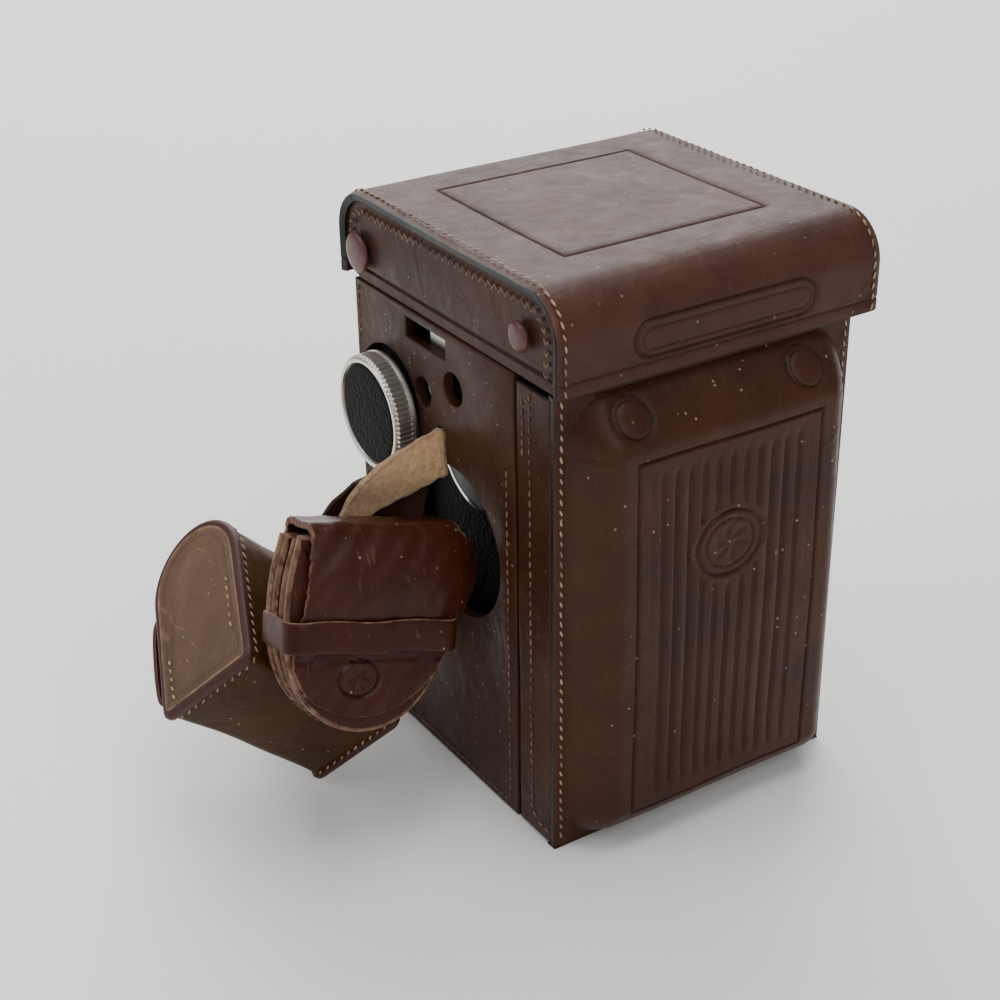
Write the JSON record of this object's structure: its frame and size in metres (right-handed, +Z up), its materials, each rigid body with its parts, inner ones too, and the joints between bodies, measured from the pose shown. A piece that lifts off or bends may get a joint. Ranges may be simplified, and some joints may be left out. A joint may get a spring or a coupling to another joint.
{
  "type": "twin lens reflex camera",
  "caption": "Twin lens reflex camera standing in its brown leather ever-ready case, with hinged lid and front, winding knob, and a strap with a flap pouch and lens hood case.",
  "frame": {"origin": "middle of the case's flat base, on the surface it stands on", "axes": "+Z up, -Y towards the moulded front of the case and the lenses, -X towards the winding knob and the pouches"},
  "size_m": [0.1735, 0.1092, 0.15],
  "materials": {
    "case_leather": "smooth, oiled, worn",
    "pouch_leather": "smooth, polished, worn",
    "suede": "flesh side, napped",
    "stud_enamel": "gloss red brown",
    "black_leatherette": "grained, semi matt",
    "black_enamel": "semi gloss",
    "satin_metal": "satin nickel",
    "bright_chrome": "polished",
    "optical_glass": "coated",
    "silvered_mirror": "front silvered",
    "spool_metal": "black lacquer",
    "ivory_dial": "matt"
  },
  "bodies": {
    "case": {"case_base": "case_leather", "case_left_wall": "case_leather", "case_right_wall": "case_leather", "case_back_wall": "case_leather", "front_hinge_strip": "case_leather", "lid_hinge_strip": "case_leather", "camera_body": "black_enamel", "left_leatherette": "black_leatherette", "right_leatherette": "black_leatherette", "back_door": "black_enamel", "pressure_plate": "black_enamel", "reflex_mirror": "silvered_mirror", "focusing_screen": "optical_glass", "hood_frame": "black_enamel", "hood_leaves": "black_enamel", "hood_top_plate": "black_enamel", "finder_magnifier": "optical_glass", "strap_lugs": "satin_metal", "side_dial_rim": "bright_chrome", "side_dial_plate": "black_enamel", "tripod_bush": "satin_metal"},
    "front_cover": {"front_cover": "case_leather", "cover_studs": "case_leather"},
    "lid": {"lid_shell": "case_leather", "lid_left_side": "case_leather", "lid_right_side": "case_leather", "lid_rivets": "stud_enamel", "lid_press_studs": "stud_enamel"},
    "pouches": {"accessory_strap": "suede", "flap_pouch_body": "pouch_leather", "flap_pouch_flap": "pouch_leather", "flap_pouch_band": "pouch_leather", "hood_case_near_cap": "pouch_leather", "hood_case_wrap": "pouch_leather", "hood_case_far_cap": "pouch_leather", "hood_case_snap": "satin_metal"},
    "winding": {"winding_knob": "satin_metal", "winding_knob_disc": "black_leatherette", "winding_shaft": "satin_metal", "take_up_spool": "spool_metal"},
    "feed": {"feed_spool": "spool_metal"},
    "lower_roller": {"lower_film_roller": "bright_chrome"},
    "upper_roller": {"upper_film_roller": "bright_chrome"},
    "counter": {"counter_dial": "ivory_dial"},
    "focusing": {"focusing_knob": "satin_metal", "focusing_shaft": "satin_metal"},
    "lens_panel": {"lens_board": "black_enamel", "shutter_housing": "black_enamel", "taking_lens_barrel": "bright_chrome", "viewing_lens_barrel": "bright_chrome", "taking_lens_glass": "optical_glass", "viewing_lens_glass": "optical_glass"},
    "aperture": {"aperture_lever": "satin_metal"},
    "speed": {"speed_lever": "satin_metal"},
    "release": {"release_lever": "satin_metal"}
  },
  "joints": [
    {"name": "lid_hinge", "type": "hinge", "parent": "case", "child": "lid", "pos_m": [0, 0.0519, 0.1259], "axis": [-1, 0, 0], "range_deg": [0, 110]},
    {"name": "front_cover_hinge", "type": "hinge", "parent": "case", "child": "front_cover", "pos_m": [0, -0.046, 0.0002], "axis": [1, 0, 0], "range_deg": [0, 83]},
    {"name": "pouch_swing", "type": "hinge", "parent": "case", "child": "pouches", "pos_m": [-0.0455, 0.0045, 0.09], "axis": [0, 0, 1], "range_deg": [-7, 8]},
    {"name": "winding_knob_turn", "type": "hinge", "parent": "case", "child": "winding", "pos_m": [-0.0479, 0.0297, 0.0946], "axis": [-1, 0, 0], "continuous": true},
    {"name": "feed_spool_turn", "type": "hinge", "parent": "case", "child": "feed", "pos_m": [0, 0.011, 0.0175], "axis": [-1, 0, 0], "continuous": true},
    {"name": "lower_roller_turn", "type": "hinge", "parent": "case", "child": "lower_roller", "pos_m": [0, 0.0346, 0.014], "axis": [-1, 0, 0], "continuous": true},
    {"name": "upper_roller_turn", "type": "hinge", "parent": "case", "child": "upper_roller", "pos_m": [0, 0.0346, 0.08], "axis": [-1, 0, 0], "continuous": true},
    {"name": "counter_turn", "type": "hinge", "parent": "case", "child": "counter", "pos_m": [-0.04, 0.0126, 0.1056], "axis": [-1, 0, 0], "continuous": true},
    {"name": "focusing_knob_turn", "type": "hinge", "parent": "case", "child": "focusing", "pos_m": [0.045, -0.0018, 0.0695], "axis": [1, 0, 0], "range_deg": [0, 270]},
    {"name": "lens_panel_slide", "type": "slide", "parent": "case", "child": "lens_panel", "axis": [0, -1, 0], "range_m": [0, 0.005]},
    {"name": "aperture_lever_turn", "type": "hinge", "parent": "lens_panel", "child": "aperture", "pos_m": [0, -0.0394, 0.047], "axis": [0, -1, 0], "range_deg": [0, 50]},
    {"name": "speed_lever_turn", "type": "hinge", "parent": "lens_panel", "child": "speed", "pos_m": [0, -0.0408, 0.047], "axis": [0, -1, 0], "range_deg": [-50, 0]},
    {"name": "release_lever_turn", "type": "hinge", "parent": "lens_panel", "child": "release", "pos_m": [0, -0.0422, 0.047], "axis": [0, -1, 0], "range_deg": [0, 25], "stiffness_Nm_per_rad": 0.01, "springref_deg": -5.73}
  ],
  "couplings": [
    {"joint": "feed_spool_turn", "follows": "winding_knob_turn", "ratio": 1},
    {"joint": "lower_roller_turn", "follows": "winding_knob_turn", "ratio": 2.5},
    {"joint": "upper_roller_turn", "follows": "winding_knob_turn", "ratio": 2.5},
    {"joint": "counter_turn", "follows": "winding_knob_turn", "ratio": 0.1},
    {"joint": "focusing_knob_turn", "follows": "lens_panel_slide", "rad_per_m": 942}
  ]
}
